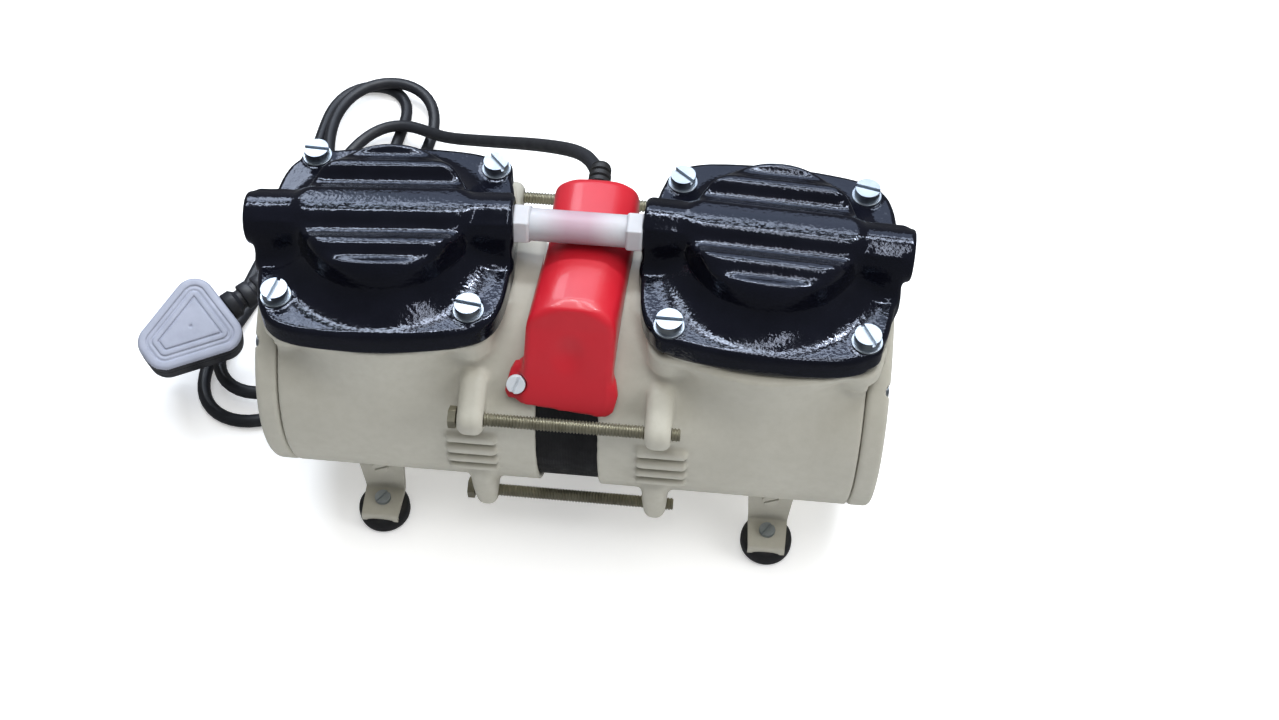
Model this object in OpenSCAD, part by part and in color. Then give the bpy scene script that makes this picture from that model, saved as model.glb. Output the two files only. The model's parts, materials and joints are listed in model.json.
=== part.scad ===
// Twin-head oil-free diaphragm vacuum pump. Millimetres.
// Origin: on the standing surface, midway between the four feet.
// +X along the shaft, +Y to the back, +Z up.

/* [Body] */
// Outside diameter of the two body castings
body_d = 111; // [110:0.5:111]
// Height of the shaft axis over the standing surface
axis_z = 78; // [77:0.5:79]
// Distance between the two head centres
head_pitch = 146; // [145:0.5:147]
// Half length of the body without its end covers
half_len = 112; // [111.5:0.5:112.5]
// Thickness of each end cover
end_t = 9; // [8:0.5:10]
// Half of the stator gap seen between the castings
gap_half = 12; // [11:0.5:13]

/* [Heads] */
// Pitch of the head screws, both ways
screw_pitch = 72; // [71:0.5:73]
// Width of the head plate across the middles of its sides
plate_w = 97; // [96:0.5:98]
// Thickness of the head plate
plate_t = 8; // [7.5:0.5:8.5]
// Radius of the ribbed dome on each head
dome_r = 31; // [30:0.5:32]
// Height of the dome over the head plate
dome_h = 20; // [18:0.5:21]
// Height of the port axis over the head plate
port_h = 10; // [9:0.5:11]
// Wall radius of the tapped ports
port_r = 6.6; // [6:0.1:6.8]

/* [Motion] */
// Throw of each eccentric
throw = 3; // [2:0.25:3]
// Radius of the shaft
shaft_r = 6; // [5.5:0.25:6]

/* [Fasteners] */
// Radius of the tie rods
rod_r = 2.5; // [2:0.25:2.5]
// Distance of the tie rods from the shaft axis
rod_c = 62.5; // [62:0.5:64]
// Angle of the upper tie rods over the horizontal
rod_up = 24; // [20:1:28]
// Angle of the lower tie rods under the horizontal
rod_dn = 42.5; // [40:0.5:45]

/* [Stand] */
// Distance of each foot from the middle, along the body
foot_x = 83; // [82:0.5:84]
// Distance of each foot from the middle, across the body
foot_y = 41; // [40:0.5:42]
// Radius of each rubber foot
foot_r = 11; // [10:0.5:11]

/* [Cord] */
// Diameter of the mains cord
cord_d = 6; // [5.5:0.25:6.5]

/* [Hidden] */

$fn = 96;
R = body_d / 2;
zc = axis_z;
hx = head_pitch / 2;
sp = screw_pitch / 2;
deck = zc + R + 0.5;            // joint face between housing and head plate
top = deck + plate_t;           // top of the head plate
port_z = top + port_h;
recess = deck - 7;              // floor of the recess for diaphragm and valve plate
dia_mid = recess - 4.6;         // diaphragm centre at half stroke
neck_r = 50;
throat_r = 31;
seat_r = 36.5;
end_x = half_len + end_t;
side_bow = 182;                 // radius of the bowed sides of the head plate
foot_h = 9.5;
tab_z = 12;
e_r = 14;                       // eccentric
bush_r = 17;
ring_r = 21;

// ---- repeated shapes ----
module side(s) { if (s > 0) children(); else mirror([1, 0, 0]) children(); }
module alongx(x0, x1, r, y = 0, z = zc) translate([x0, y, z]) rotate([0, 90, 0]) cylinder(r = r, h = x1 - x0);
module box(a, b) translate(a) cube([b[0] - a[0], b[1] - a[1], b[2] - a[2]]);
function ry(a) = cos(a) * rod_c;
function rz(a) = zc + sin(a) * rod_c;
// place a child, drawn along +Z from the origin, so that it points out of the body at an angle over -Y
module radial(x, a, r) translate([x, -cos(a) * r, zc + sin(a) * r]) rotate([90 - a, 0, 0]) children();

module plate_outline(grow = 0) {
  o = side_bow - plate_w / 2;
  intersection() {
    translate([-o, 0]) circle(r = side_bow + grow, $fn = 240);
    translate([o, 0]) circle(r = side_bow + grow, $fn = 240);
    translate([0, -o]) circle(r = side_bow + grow, $fn = 240);
    translate([0, o]) circle(r = side_bow + grow, $fn = 240);
    circle(r = 58.5 + grow, $fn = 240);
  }
}

// slotted cheese-head screw pointing down, underside of the head at z = 0
module cheese(r, hr, hh, len, slot, a) {
  difference() {
    union() { cylinder(r = hr, h = hh); translate([0, 0, -len]) cylinder(r = r, h = len); }
    rotate([0, 0, a]) translate([-hr - 1, -slot / 2, hh - hh * 0.4]) cube([2 * hr + 2, slot, hh]);
  }
}

// ---- housings ----
module lug(a, x, tail) {
  // ear with its bore, standing out of the casting
  translate([x - 5, 0, zc]) rotate([90 - 90 + 180 - a, 0, 0]) {
    translate([0, R - 5, -6.5]) cube([10, rod_c - R + 5, 13]);
    translate([0, R - 5, tail > 0 ? -15 : 6]) cube([10, 7.5, 9]);
    translate([0, rod_c, 0]) rotate([0, 90, 0]) cylinder(r = 6.5, h = 10);
  }
}
module rod_hole(a, x0, x1, r) for (m = [-1, 1]) alongx(x0, x1, r, m * ry(a), rz(a));

module housing(s) {
  difference() {
    union() {
      alongx(gap_half, half_len, R);
      intersection() {
        translate([hx, 0, zc]) cylinder(r = neck_r, h = deck - zc);
        box([0, -60, 0], [half_len, 60, 200]);
      }
      // flange under the head plate and its corner bosses; over the end cover only the corners remain
      difference() {
        intersection() {
          union() {
            translate([hx, 0, deck - 3.5]) linear_extrude(3.5) plate_outline(0.6);
            for (i = [-1, 1], j = [-1, 1]) translate([hx + i * sp, j * sp, deck - 22]) cylinder(r = 7.5, h = 22);
          }
          union() {
            box([0, -60, 0], [half_len, 60, 200]);
            for (m = [0, 1]) mirror([0, m, 0]) box([half_len - 1, 28.2, deck - 10.6], [half_len + 20, 60, 200]);
          }
        }
        alongx(half_len, half_len + 30, R + 0.1);
      }
      for (m = [0, 1]) mirror([0, m, 0]) {
        lug(rod_up, 36, 1);
        lug(-rod_dn, 35, -1);
        for (i = [0:3]) box([27, -R - 2, zc - 12 + i * 6.5], [47, -R + 8, zc - 8.4 + i * 6.5]);
        // pad for the leg bracket
        box([foot_x - 9, -34, zc - R], [foot_x + 9, -22, zc - 38]);
      }
    }
    // motor chamber, bearing wall and crank chamber
    alongx(gap_half - 1, 17, 53);
    alongx(16, 39, 49);
    alongx(38, 50.01, 16);
    alongx(50, 53, 10);
    alongx(51, half_len + 1, 50);
    // throat and recess for the diaphragm
    translate([hx, 0, zc]) cylinder(r = throat_r, h = deck);
    translate([hx, 0, recess]) cylinder(r = seat_r, h = 20);
    // tapped holes of the head screws
    for (i = [-1, 1], j = [-1, 1]) translate([hx + i * sp, j * sp, deck - 11]) cylinder(r = 3, h = 30);
    // tie rod holes
    rod_hole(rod_up, 30, 42, rod_r + 0.05);
    rod_hole(-rod_dn, 29, 41, rod_r + 0.05);
    // air slots between the bars
    for (m = [0, 1]) mirror([0, m, 0]) for (i = [0:2])
      box([28.5, -R - 6, zc - 7.7 + i * 6.5], [38.2, -R + 12, zc - 6.2 + i * 6.5]);
    // end cover screws, leg screws
    for (a = [45, 135, 225, 315]) translate([half_len - 10, cos(a) * 52.6, zc + sin(a) * 52.6]) rotate([0, 90, 0]) cylinder(r = 1.5, h = 20);
    for (m = [-1, 1]) translate([foot_x, m * 34.1, zc - 48]) rotate([m * 90, 0, 0]) cylinder(r = 2, h = 10);
    // front notch of the leg pad where the bracket lies flat
    for (m = [0, 1]) mirror([0, m, 0]) box([foot_x - 10, -40, zc - R - 1], [foot_x + 10, -32, zc - 44.9]);
    if (s < 0) radial(19.2, 37.4, R - 8) cylinder(r = 2, h = 20);
  }
}
module left_housing() color("#cfccbe") side(-1) housing(-1);
module right_housing() color("#cfccbe") housing(1);

module end_cover() difference() {
  union() {
    alongx(half_len, end_x - 1.5, R);
    alongx(end_x - 1.5, end_x, R - 1.5);
    difference() { alongx(half_len - 2.4, half_len + 0.1, 49.9); alongx(half_len - 4, half_len + 1, 45); }
  }
  alongx(end_x - 2.5, end_x + 1, 40);
  for (a = [45, 135, 225, 315]) translate([half_len - 4, cos(a) * 52.6, zc + sin(a) * 52.6]) rotate([0, 90, 0]) {
    cylinder(r = 1.7, h = 20);
    translate([0, 0, 10.5]) cylinder(r = 2.6, h = 10);
  }
}
module left_end_cover() color("#cfccbe") side(-1) end_cover();
module right_end_cover() color("#cfccbe") end_cover();
module end_cover_screws() color("#c9ccd0") for (s = [-1, 1]) side(s) for (a = [45, 135, 225, 315])
  translate([half_len + 6.5, cos(a) * 52.6, zc + sin(a) * 52.6]) rotate([0, 90, 0]) cheese(1.5, 2.45, 2, 14, 0.8, a);

// ---- motor ----
module stator_core() color("#17181a") difference() {
  alongx(-16.9, 16.9, 52.95);
  alongx(-18, 18, 28);
  for (i = [0:11]) alongx(-18, 18, 3.2, cos(i * 30) * 35, zc + sin(i * 30) * 35);
}
module stator_windings() color("#a0522d") {
  for (s = [-1, 1]) side(s) difference() { alongx(17.2, 26, 43); alongx(17, 27, 30.5); }
  for (i = [0:11]) alongx(-17.5, 17.5, 3, cos(i * 30) * 35, zc + sin(i * 30) * 35);
}
module rotor() color("#8d9096") difference() {
  union() { alongx(-17, 17, 27.6); alongx(-21, 21, 25); }
  alongx(-22, 22, shaft_r);
}
module motor_shaft() color("#b9bcc2") {
  alongx(-87, 87, shaft_r);
  for (s = [-1, 1]) side(s) alongx(86.5, 88, shaft_r - 0.8);
}
module cooling_fans() color("#2b2d31") for (s = [-1, 1]) side(s) difference() {
  union() {
    alongx(28.5, 37.5, 11);
    alongx(35.5, 37.5, 42);
    for (i = [0:8]) translate([28.5, 0, zc]) rotate([i * 40, 0, 0]) translate([0, 9, -1]) cube([8, 32, 2]);
  }
  alongx(20, 45, shaft_r);
}
module bearing_outer_races() color("#b9bcc2") for (s = [-1, 1]) side(s) difference() { alongx(40, 50, 16); alongx(39, 51, 12.9); }
module bearing_inner_races() color("#a9acb2") for (s = [-1, 1]) side(s) difference() { alongx(40, 50, 9.3); alongx(39, 51, shaft_r); }
module bearing_balls() color("#d8dade") for (s = [-1, 1]) side(s) for (i = [0:8])
  translate([45, cos(i * 40) * 11.12, zc + sin(i * 40) * 11.12]) sphere(r = 1.75, $fn = 32);

// ---- crank drive: s = -1 is at the bottom of its stroke at rest, s = 1 at the top ----
module eccentric() difference() {
  union() {
    alongx(hx - 6, hx + 6, e_r, 0, zc + throw);
    alongx(hx + 6, hx + 7.5, e_r + 1.5, 0, zc + throw);
    alongx(hx - 7.5, hx - 6, 11);
    intersection() {
      alongx(hx + 7.5, hx + 12.5, 30);
      box([0, -40, zc - 40], [200, 40, zc + 6.4]);
    }
  }
  alongx(hx - 20, hx + 20, shaft_r);
  translate([hx + 10, 0, zc - 40]) cylinder(r = 2, h = 40);
}
// the left one is the right one turned half a turn about the shaft and facing the other way
module left_eccentric() color("#8f8a80") translate([0, 0, 2 * zc]) rotate([0, 180, 0]) eccentric();
module right_eccentric() color("#8f8a80") eccentric();
module eccentric_set_screws() color("#3a3d42") for (s = [-1, 1]) side(s)
  translate([hx + 10, 0, zc]) mirror([0, 0, s > 0 ? 1 : 0]) translate([0, 0, shaft_r]) cylinder(r = 2, h = 8);
module rod_bush(s) difference() {
  alongx(hx - 5.5, hx + 5.5, bush_r, 0, zc + s * throw);
  alongx(hx - 7, hx + 7, e_r + 0.05, 0, zc + s * throw);
}
module left_rod_bush() color("#b08d4a") side(-1) rod_bush(-1);
module right_rod_bush() color("#b08d4a") rod_bush(1);
module connecting_rod(s) {
  ez = zc + s * throw;
  dz = dia_mid + s * throw;
  difference() {
    union() {
      alongx(hx - 5.5, hx + 5.5, ring_r, 0, ez);
      box([hx - 4, -8, ez + 15], [hx + 4, 8, dz - 3]);
      translate([hx, 0, dz - 4]) cylinder(r = 22, h = 3);
    }
    alongx(hx - 10, hx + 10, bush_r, 0, ez);
    translate([hx, 0, dz - 16]) cylinder(r = 2.5, h = 30);
  }
}
module left_connecting_rod() color("#9a9ea4") side(-1) connecting_rod(-1);
module right_connecting_rod() color("#9a9ea4") connecting_rod(1);
module clamp_disc(s) translate([hx, 0, dia_mid + s * throw + 1]) difference() {
  cylinder(r = 22, h = 2.2);
  translate([0, 0, -1]) cylinder(r = 2.6, h = 9);
  translate([0, 0, 0.7]) cylinder(r = 4.8, h = 9);
}
module left_clamp_disc() color("#b9bcc2") side(-1) clamp_disc(-1);
module right_clamp_disc() color("#b9bcc2") clamp_disc(1);
module clamp_screw(s) translate([hx, 0, dia_mid + s * throw + 1.7]) cheese(2.5, 4.6, 1.5, 14, 1.2, 20);
module left_clamp_screw() color("#c9ccd0") side(-1) clamp_screw(-1);
module right_clamp_screw() color("#c9ccd0") clamp_screw(1);
module diaphragm(s) {
  c = dia_mid + s * throw;
  translate([hx, 0, 0]) rotate_extrude() polygon([
    [2.7, c - 1], [22, c - 1], [24, c - 0.9], [30.4, recess + 0.02], [seat_r - 0.2, recess + 0.02],
    [seat_r - 0.2, recess + 2], [29.4, recess + 2], [23.2, c + 1], [2.7, c + 1]]);
}
module left_diaphragm() color("#202124") side(-1) diaphragm(-1);
module right_diaphragm() color("#202124") diaphragm(1);

// ---- valves ----
// o = 1: intake on the side away from the middle, exhaust towards it; o = -1: the other way round
reed_x = 14;
reed_y = 15;
module valve_plate(o) {
  difference() {
    translate([hx, 0, recess + 2]) cylinder(r = seat_r - 0.2, h = 4.6);
    for (i = [-1, 1], j = [-1, 0, 1]) translate([hx + i * reed_x, j * 5, recess]) cylinder(r = 1.8, h = 12);
    // pockets for the reeds: intake below, exhaust above, each relieved under or over the reed's tail
    translate([hx + o * reed_x, 0, recess]) {
      box([-6.5, -13, 1], [6.5, 19, 3.6]);
      box([-6.5, reed_y - 1, 1], [6.5, 19, 4]);
      translate([0, reed_y, 0]) cylinder(r = 1.5, h = 5.5);
    }
    translate([hx - o * reed_x, 0, recess]) {
      box([-6.5, -13, 5], [6.5, 19, 8]);
      box([-6.5, reed_y - 1, 4.6], [6.5, 19, 8]);
      translate([0, reed_y, 3]) cylinder(r = 1.5, h = 5);
    }
  }
}
module left_valve_plate() color("#a9adb3") side(-1) valve_plate(1);
module right_valve_plate() color("#a9adb3") valve_plate(-1);
module reed(cx, z0) difference() {
  box([hx + cx - 5, -10, z0], [hx + cx + 5, reed_y + 2.6, z0 + 0.3]);
  translate([hx + cx, reed_y, z0 - 1]) cylinder(r = 1.6, h = 3);
}
module left_intake_reed() color("#d0d3d8") side(-1) reed(reed_x, recess + 3.28);
module left_exhaust_reed() color("#d0d3d8") side(-1) reed(-reed_x, recess + 5.02);
module right_intake_reed() color("#d0d3d8") reed(-reed_x, recess + 3.28);
module right_exhaust_reed() color("#d0d3d8") reed(reed_x, recess + 5.02);
module reed_screws() color("#c9ccd0") for (s = [-1, 1]) side(s) {
  translate([hx + s * reed_x, reed_y, recess + 5.6]) { translate([0, 0, -2.5]) cylinder(r = 1.5, h = 2.5); cylinder(r = 2.5, h = 0.9); }
  translate([hx - s * reed_x, reed_y, recess + 2.1]) { cylinder(r = 2.5, h = 0.9); cylinder(r = 1.5, h = 3.3); }
}
module head_gaskets() color("#5b3a2a") for (s = [-1, 1]) side(s) translate([hx, 0, deck - 0.38]) difference() {
  cylinder(r = seat_r - 0.2, h = 0.38);
  for (m = [-1, 1]) translate([m * 14.5 - 12.5, -20, -1]) cube([25, 40, 3]);
}

// ---- heads ----
module head_cover() {
  difference() {
    union() {
      translate([hx, 0, deck]) linear_extrude(plate_t - 1.5) plate_outline();
      translate([hx, 0, top - 1.5]) linear_extrude(1.5) plate_outline(-1.2);
      translate([hx, 0, top - 1]) cylinder(r = dome_r, h = dome_h - 1);
      translate([hx, 0, top - 0.5]) cylinder(r1 = 38, r2 = 32, h = 5.5);
      translate([hx, 0, top + dome_h - 2.1]) cylinder(r = dome_r - 1.5, h = 2.1);
      // port bar
      alongx(hx - 48.5, hx + 52, 10, 0, port_z);
      translate([hx - 48.5, 0, 0]) rotate([90, 0, 90]) linear_extrude(100.5) polygon([
        [-14.5, top - 1], [-9.4, port_z + 3.4], [-4, port_z + 9.2], [4, port_z + 9.2], [9.4, port_z + 3.4], [14.5, top - 1]]);
      translate([hx + 45, 0, 0]) rotate([90, 0, 90]) linear_extrude(5.5) polygon([
        [-13, deck + 0.5], [-14.4, top - 0.5], [14.4, top - 0.5], [13, deck + 0.5]]);
      for (i = [-1, 1], j = [-1, 1]) translate([hx + i * sp, j * sp, deck]) cylinder(r = 8.2, h = plate_t);
    }
    // flutes across the dome
    for (y = [-24.2, -11.5, 11.5, 24.2]) alongx(hx - 40, hx + 40, 2.7, y, top + dome_h - 0.5);
    // screw holes
    for (i = [-1, 1], j = [-1, 1]) translate([hx + i * sp, j * sp, deck - 1]) cylinder(r = 3.3, h = 30);
    // ports
    alongx(hx + 31, hx + 60, port_r, 0, port_z);
    alongx(hx - 60, hx - 31, 5, 0, port_z);
    alongx(hx + 15, hx + 32, 4, 0, port_z);
    alongx(hx - 32, hx - 15, 4, 0, port_z);
    // the two chambers, open to the valve plate
    for (m = [-1, 1]) intersection() {
      translate([hx, 0, deck - 1]) cylinder(r = 26, h = plate_t + 13);
      box([hx + (m > 0 ? 2 : -30), -30, 0], [hx + (m > 0 ? 30 : -2), 30, 300]);
    }
  }
}
module left_head_cover() color("#191b22") side(-1) head_cover();
module right_head_cover() color("#191b22") head_cover();
SLOTS = [2, 48, 100, 8, 40, 14, 0, 62];
module head_screws() color("#c9ccd0") for (k = [0:7]) {
  i = k % 2; j = floor(k / 2) % 2; m = k < 4 ? -1 : 1;
  translate([m * hx + (i * 2 - 1) * sp, (1 - 2 * j) * sp, top + 1]) cheese(3, 4.9, 4, plate_t + 11, 1.6, -SLOTS[k]);
}
module head_washers() color("#b4b8be") for (m = [-1, 1], i = [-1, 1], j = [-1, 1])
  translate([m * hx + i * sp, j * sp, top]) difference() { cylinder(r = 5.8, h = 1); translate([0, 0, -1]) cylinder(r = 3.3, h = 3); }

module crossover_tube() color("#e6e6e4") difference() {
  x1 = hx - 48.5;
  union() {
    alongx(-x1 - 9, x1 + 9, 4.95, 0, port_z);
    alongx(-x1, x1, 6.2, 0, port_z);
    for (s = [-1, 1]) side(s) translate([x1 - 6.2, 0, port_z]) rotate([0, 90, 0]) rotate([0, 0, 12]) cylinder(r = 8.1, h = 6.2, $fn = 6);
  }
  alongx(-60, 60, 3, 0, port_z);
}

// ---- tie rods ----
module tie_rods() color("#a59b6b") {
  for (m = [-1, 1]) alongx(-44, 44, rod_r, m * ry(rod_up), rz(rod_up));
  for (m = [-1, 1]) alongx(-43, 42.5, rod_r, m * ry(rod_dn), rz(-rod_dn));
}
module nut(x, y, z) translate([x, y, z]) rotate([0, 90, 0]) difference() {
  cylinder(r = 4.4, h = 3, $fn = 6);
  translate([0, 0, -1]) cylinder(r = rod_r, h = 6);
}
module tie_rod_nuts() color("#8f8a5e") for (m = [-1, 1]) {
  nut(-44, m * ry(rod_up), rz(rod_up));
  nut(-43, m * ry(rod_dn), rz(-rod_dn));
}

// ---- terminal cover ----
module cover_block(g) intersection() {
  // side profile, front to back, drawn across the body
  translate([-17 + g, 0, 0]) rotate([90, 0, 90]) linear_extrude(34 - 2 * g) polygon([
    [34 - g, 110], [34 - g, zc + 64 - g], [31, zc + 67 - g], [-27 + g, zc + 67 - g], [-31 + g, zc + 64.5 - g],
    [-45 + g, zc + 40], [-54 + g, zc + 25], [-40, zc + 20], [-20, zc + 30]]);
  translate([0, 60, 0]) rotate([90, 0, 0]) linear_extrude(130) intersection() {
    translate([0, zc + 67 - g - 23]) circle(r = 23, $fn = 120);
    translate([-30, zc + 24]) square([60, 60]);
  }
}
module terminal_cover() color("#d0202e") difference() {
  union() {
    difference() {
      cover_block(0);
      cover_block(2);
      alongx(-40, 40, R + 0.05);
    }
    // front flange with its two ears, curved to the castings
    intersection() {
      difference() { alongx(-23.5, 20, R + 2.6); alongx(-30, 30, R + 0.05); }
      union() {
        box([-17, -60, zc + 26.5], [17, -41, zc + 42]);
        box([-23.5, -60, zc + 28], [-16, -40, zc + 39]);
        box([16, -60, zc + 27], [20, -40, zc + 36]);
      }
    }
  }
  radial(-19.2, 37.4, R - 2) cylinder(r = 2.3, h = 10);
  radial(-19.2, 37.4, R + 2.6) cylinder(r = 4, h = 10);
  translate([3, 30, 133.5]) rotate([-90, 0, 0]) cylinder(r = 4.6, h = 10);
}
module terminal_cover_screw() color("#c9ccd0") radial(-19.2, 37.4, R + 2.6) cheese(2, 3.6, 2.4, 9, 1.1, 68);
module terminal_block() color("#dedbd0") difference() {
  union() { box([-13, -8, zc + R + 0.1], [13, 12, zc + R + 5]); box([-10, -3, zc + R + 4], [10, 7, zc + R + 6.4]); }
  for (x = [-8, 0, 8]) translate([x, 2, zc + R + 2]) cylinder(r = 1.5, h = 9);
}
module terminal_screws() color("#b08d4a") for (x = [-8, 0, 8]) translate([x, 2, zc + R + 2]) cylinder(r = 1.5, h = 4);

// ---- stand ----
module at_feet() for (i = [-1, 1], j = [0, 1]) translate([i * foot_x, 0, 0]) mirror([0, j, 0]) children();
module leg_brackets() color("#bdbaad") at_feet() difference() {
  union() {
    box([-8, -35, foot_h], [8, -32, zc - 45]);
    box([-8, -52, foot_h], [8, -32, tab_z]);
  }
  translate([0, -foot_y, foot_h - 1]) cylinder(r = 2.1, h = 5);
  translate([0, -30, zc - 48]) rotate([90, 0, 0]) cylinder(r = 2.1, h = 8);
}
module leg_screws() color("#c9ccd0") at_feet() translate([0, -35, zc - 48]) rotate([90, 0, 0]) cheese(2, 3.5, 2.2, 8, 1, 30);
module rubber_feet() color("#141414") at_feet() translate([0, -foot_y, 0]) difference() {
  rotate_extrude() polygon([[0, 0], [foot_r - 1, 0], [foot_r, 1], [foot_r - 0.4, foot_h - 1], [foot_r - 1.6, foot_h], [0, foot_h]]);
  translate([0, 0, 2]) cylinder(r = 2, h = 10);
}
module foot_screws() color("#c9ccd0") at_feet() translate([0, -foot_y, tab_z]) cheese(2, 3.4, 1.8, 9, 1, 55);

// ---- mains cord, its gland and plug ----
// route of the lead from the gland to the hank, and of the tail from the hank to the plug
LEAD = [[3, 38, 130.9], [3, 44, 130.9], [2.6, 50, 130.8], [-0.7, 57.9, 128.8], [-8.9, 70.6, 119.5], [-20.9, 88.3, 103], [-35.8, 108.3, 83],
  [-54.3, 131.4, 59], [-73.6, 152.6, 37], [-90, 168.5, 21], [-101, 178, 13.5], [-111, 186.5, 10.5]];
TAIL = [[-138.2, 55.95, 48.85], [-135.4, 58.75, 49.3], [-130.8, 64.1, 48.4], [-125.9, 71.1, 44.9], [-123.4, 77.5, 39.2], [-122.7, 83.5, 32.2], [-123.5, 89.5, 25.2], [-125.7, 96.2, 18.6], [-128.7, 103.9, 13.4], [-132.4, 113, 10.2]];
function cr(p0, p1, p2, p3, t) = 0.5 * ((2 * p1) + (p2 - p0) * t + (2 * p0 - 5 * p1 + 4 * p2 - p3) * t * t + (3 * p1 - p0 - 3 * p2 + p3) * t * t * t);
function knot(p, i) = i < 0 ? 2 * p[0] - p[1] : i >= len(p) ? 2 * p[len(p) - 1] - p[len(p) - 2] : p[i];
function smooth(p, n) = [for (i = [0:len(p) - 2], k = [0:n - 1]) cr(knot(p, i - 1), knot(p, i), knot(p, i + 1), knot(p, i + 2), k / n), p[len(p) - 1]];
function unit(v) = v / norm(v);
function dir(p, i) = unit(p[min(i + 1, len(p) - 1)] - p[max(i - 1, 0)]);
module tube(route, d, n, sides, ref) {
  p = smooth(route, n);
  m = len(p);
  pts = [for (i = [0:m - 1]) let(t = dir(p, i), u = unit(cross(t, ref)), v = cross(t, u)) for (k = [0:sides - 1]) p[i] + d / 2 * (cos(k * 360 / sides) * u + sin(k * 360 / sides) * v)];
  faces = concat(
    [for (i = [0:m - 2], k = [0:sides - 1]) let(a = i * sides + k, b = i * sides + (k + 1) % sides) [a, b, b + sides, a + sides]],
    [[for (k = [0:sides - 1]) sides - 1 - k]],
    [[for (k = [0:sides - 1]) (m - 1) * sides + k]]);
  tri = [for (f = faces) each (len(f) == 4 ? [[f[0], f[1], f[2]], [f[0], f[2], f[3]]] : [for (j = [1:len(f) - 2]) [f[0], f[j], f[j + 1]]])];
  polyhedron(points = pts, faces = [for (f = tri) [f[2], f[1], f[0]]]);
}
module cord_gland() color("#161616") translate([3, 32.2, 133.5]) rotate([-90, 0, 0]) difference() {
  union() { cylinder(r = 4.6, h = 2); translate([0, 0, 1.9]) cylinder(r = 7, h = 2.5); translate([0, 2.6, 4]) cylinder(r1 = 5, r2 = 3.9, h = 16); }
  translate([0, 2.6, 2]) cylinder(r = cord_d / 2, h = 40);
}
module cord_lead() color("#18191c") tube(LEAD, cord_d, 4, 10, [1, 0, -0.6]);
// outline of the wound cord lying on the standing surface
HANK_A = [-153, 24];
HANK_B = [-136, 193];
module hank_outline(r) hull() {
  translate(HANK_A) circle(r = r, $fn = 72);
  translate(HANK_B) circle(r = r, $fn = 72);
}
module cord_hank() color("#18191c") linear_extrude(12) difference() { hank_outline(31); hank_outline(9); }
module cord_tail() color("#18191c") tube(TAIL, cord_d, 3, 10, [1, 0, -0.6]);

PLUG = [-173.2, 16.1, 51];
plug_a = 46.4;
plug_lean = 23;
plug_z0 = 28;
plug_z1 = 48;
earth_u = -16.1;
line_u = 6.1;
// the plug leans on the hank, its face turned forward
module in_plug() translate(PLUG) rotate(a = plug_lean, v = [0.8746, 0.4848, 0]) rotate([0, 0, plug_a]) translate([0, 0, -plug_z1]) children();
module plug_face(g) offset(r = 9.3 + g, $fn = 64) polygon([[6.7, -10.3], [6.7, 10.3], [-17, 2.5], [-17, -2.5]]);
module plug_body() color("#3a3c48") in_plug() difference() {
  union() {
    translate([0, 0, plug_z0]) linear_extrude(3.1) plug_face(-1.8);
    translate([0, 0, plug_z0 + 3]) linear_extrude(plug_z1 - plug_z0 - 4.5) plug_face(0);
    translate([0, 0, plug_z1 - 1.6]) linear_extrude(1.6) plug_face(-1.4);
  }
  translate([6, 0, 39]) rotate([0, 90, 0]) cylinder(r = 4, h = 20);
  translate([earth_u, 0, plug_z0 - 1]) cylinder(r = 3.53, h = 9);
  for (m = [-1, 1]) translate([line_u, m * 9.525, plug_z0 - 1]) cylinder(r = 2.54, h = 9);
}
module plug_pins() color("#c8a860") in_plug() {
  translate([earth_u, 0, plug_z0 - 20.6]) cylinder(r = 3.53, h = 28.6);
  for (m = [-1, 1]) translate([line_u, m * 9.525, plug_z0 - 15.6]) cylinder(r = 2.54, h = 23.6);
}
module plug_boot() color("#1b1c20") in_plug() translate([6, 0, 39]) rotate([0, 90, 0]) difference() {
  union() {
    cylinder(r = 4, h = 10.5);
    translate([0, 0, 10.3]) cylinder(r1 = 6, r2 = 4.2, h = 36);
    for (i = [0:3]) translate([0, 0, 12.8 + i * 7.8]) cylinder(r = 6.4 - i * 0.4, h = 4.6);
  }
  cylinder(r = cord_d / 2, h = 60);
}

left_housing();
right_housing();
left_end_cover();
right_end_cover();
end_cover_screws();
stator_core();
stator_windings();
rotor();
motor_shaft();
cooling_fans();
bearing_outer_races();
bearing_inner_races();
bearing_balls();
left_eccentric();
right_eccentric();
eccentric_set_screws();
left_rod_bush();
right_rod_bush();
left_connecting_rod();
right_connecting_rod();
left_clamp_disc();
right_clamp_disc();
left_clamp_screw();
right_clamp_screw();
left_diaphragm();
right_diaphragm();
left_valve_plate();
right_valve_plate();
left_intake_reed();
left_exhaust_reed();
right_intake_reed();
right_exhaust_reed();
reed_screws();
head_gaskets();
left_head_cover();
right_head_cover();
head_screws();
head_washers();
crossover_tube();
tie_rods();
tie_rod_nuts();
terminal_cover();
terminal_cover_screw();
terminal_block();
terminal_screws();
leg_brackets();
leg_screws();
rubber_feet();
foot_screws();
cord_gland();
cord_lead();
cord_hank();
cord_tail();
plug_boot();
plug_body();
plug_pins();
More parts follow.
